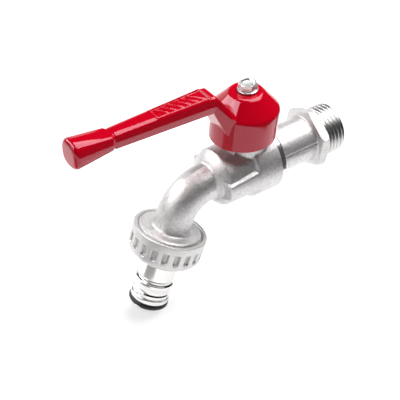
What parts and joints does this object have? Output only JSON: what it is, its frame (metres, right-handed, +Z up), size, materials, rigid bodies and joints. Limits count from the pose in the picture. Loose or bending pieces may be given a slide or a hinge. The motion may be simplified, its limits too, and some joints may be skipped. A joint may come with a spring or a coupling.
{
  "type": "garden tap",
  "caption": "Garden ball tap with a threaded inlet, cranked red lever, curved spout and a union nut holding a quick-connect hose nozzle.",
  "frame": {"origin": "centre of the inlet thread's end face", "axes": "+X with the water through the body towards the outlet, +Z up the stem to the lever, +Y to the left when looking along +X"},
  "size_m": [0.1223, 0.03, 0.0973],
  "materials": {
    "plated_brass": "blasted brass with a satin nickel-chrome plating",
    "chrome_brass": "turned brass with a bright chrome plating",
    "satin_nut": "satin grey plated brass",
    "bare_brass": "bare turned brass",
    "ptfe": "white PTFE",
    "gasket_fibre": "pressed fibre",
    "black_rubber": "black nitrile rubber",
    "red_paint": "gloss red coating on die-cast zinc",
    "zinc_steel": "bright zinc-plated steel"
  },
  "bodies": {
    "tap_body": {"valve_body": "plated_brass", "inlet_connector": "plated_brass", "body_gasket": "gasket_fibre", "seat_ring_inlet": "ptfe", "seat_ring_outlet": "ptfe", "stem_thrust_washer": "ptfe", "stem_packing_1": "ptfe", "stem_packing_2": "ptfe", "gland_nut": "bare_brass"},
    "handle": {"lever_handle": "red_paint", "handle_screw": "zinc_steel", "stem": "bare_brass", "stem_oring": "black_rubber", "ball": "chrome_brass"},
    "nozzle": {"nozzle_nipple": "chrome_brass", "nipple_oring": "black_rubber", "hose_washer": "black_rubber"},
    "nut": {"union_nut": "satin_nut"}
  },
  "joints": [
    {"name": "handle_turn", "type": "hinge", "parent": "tap_body", "child": "handle", "pos_m": [0.0447, 0, 0], "axis": [0, 0, 1], "range_deg": [-90, 0]},
    {"name": "nozzle_drop", "type": "slide", "parent": "tap_body", "child": "nozzle", "axis": [0.342, 0, -0.9397], "range_m": [0, 0.00635]},
    {"name": "nut_turn", "type": "hinge", "parent": "nozzle", "child": "nut", "pos_m": [0.0807, 0, -0.0163], "axis": [0.342, 0, -0.9397], "range_deg": [0, 1265]}
  ],
  "couplings": [
    {"joint": "nut_turn", "follows": "nozzle_drop", "rad_per_m": 3463.2}
  ]
}
